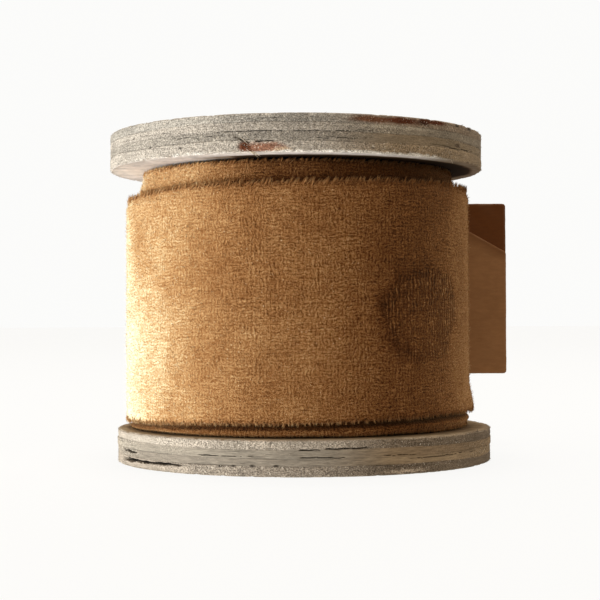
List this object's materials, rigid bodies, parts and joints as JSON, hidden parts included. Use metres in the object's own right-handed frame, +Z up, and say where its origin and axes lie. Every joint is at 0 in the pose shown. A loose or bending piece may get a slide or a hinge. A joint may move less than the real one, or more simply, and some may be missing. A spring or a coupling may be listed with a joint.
{
  "type": "ribbon spool",
  "caption": "Wooden ribbon spool: plywood discs screwed to a bored hub, wound with frayed-edge velvet ribbon, with a card label tucked under its free end.",
  "frame": {"origin": "on the axle line, in the plane of the lower disc's underside, where the spool stands", "axes": "+Z up along the axle line; +X towards the label card's free edge; +Y towards the side where the ribbon's free end lies; -Y is the front"},
  "size_m": [0.0738, 0.065, 0.0563],
  "materials": {
    "weathered_plywood": "raw, weathered, rough sawn rim",
    "hub_wood": "raw, turned",
    "screw_steel": "zinc plated",
    "velvet": "cut pile with raw frayed edges",
    "label_card": "smooth, matt"
  },
  "bodies": {
    "spool": {"top_disc": "weathered_plywood", "bottom_disc": "weathered_plywood", "hub": "hub_wood", "top_screw_1": "screw_steel", "top_screw_2": "screw_steel", "top_screw_3": "screw_steel", "bottom_screw_1": "screw_steel", "bottom_screw_2": "screw_steel", "bottom_screw_3": "screw_steel"},
    "ribbon": {"ribbon": "velvet"},
    "label": {"label_card": "label_card"}
  },
  "joints": [
    {"name": "ribbon_turn", "type": "hinge", "parent": "spool", "child": "ribbon", "pos_m": [0, 0, 0.02815], "axis": [0, 0, 1], "continuous": true},
    {"name": "label_slide", "type": "slide", "parent": "ribbon", "child": "label", "axis": [1, 0, 0], "range_m": [0, 0.018]}
  ]
}
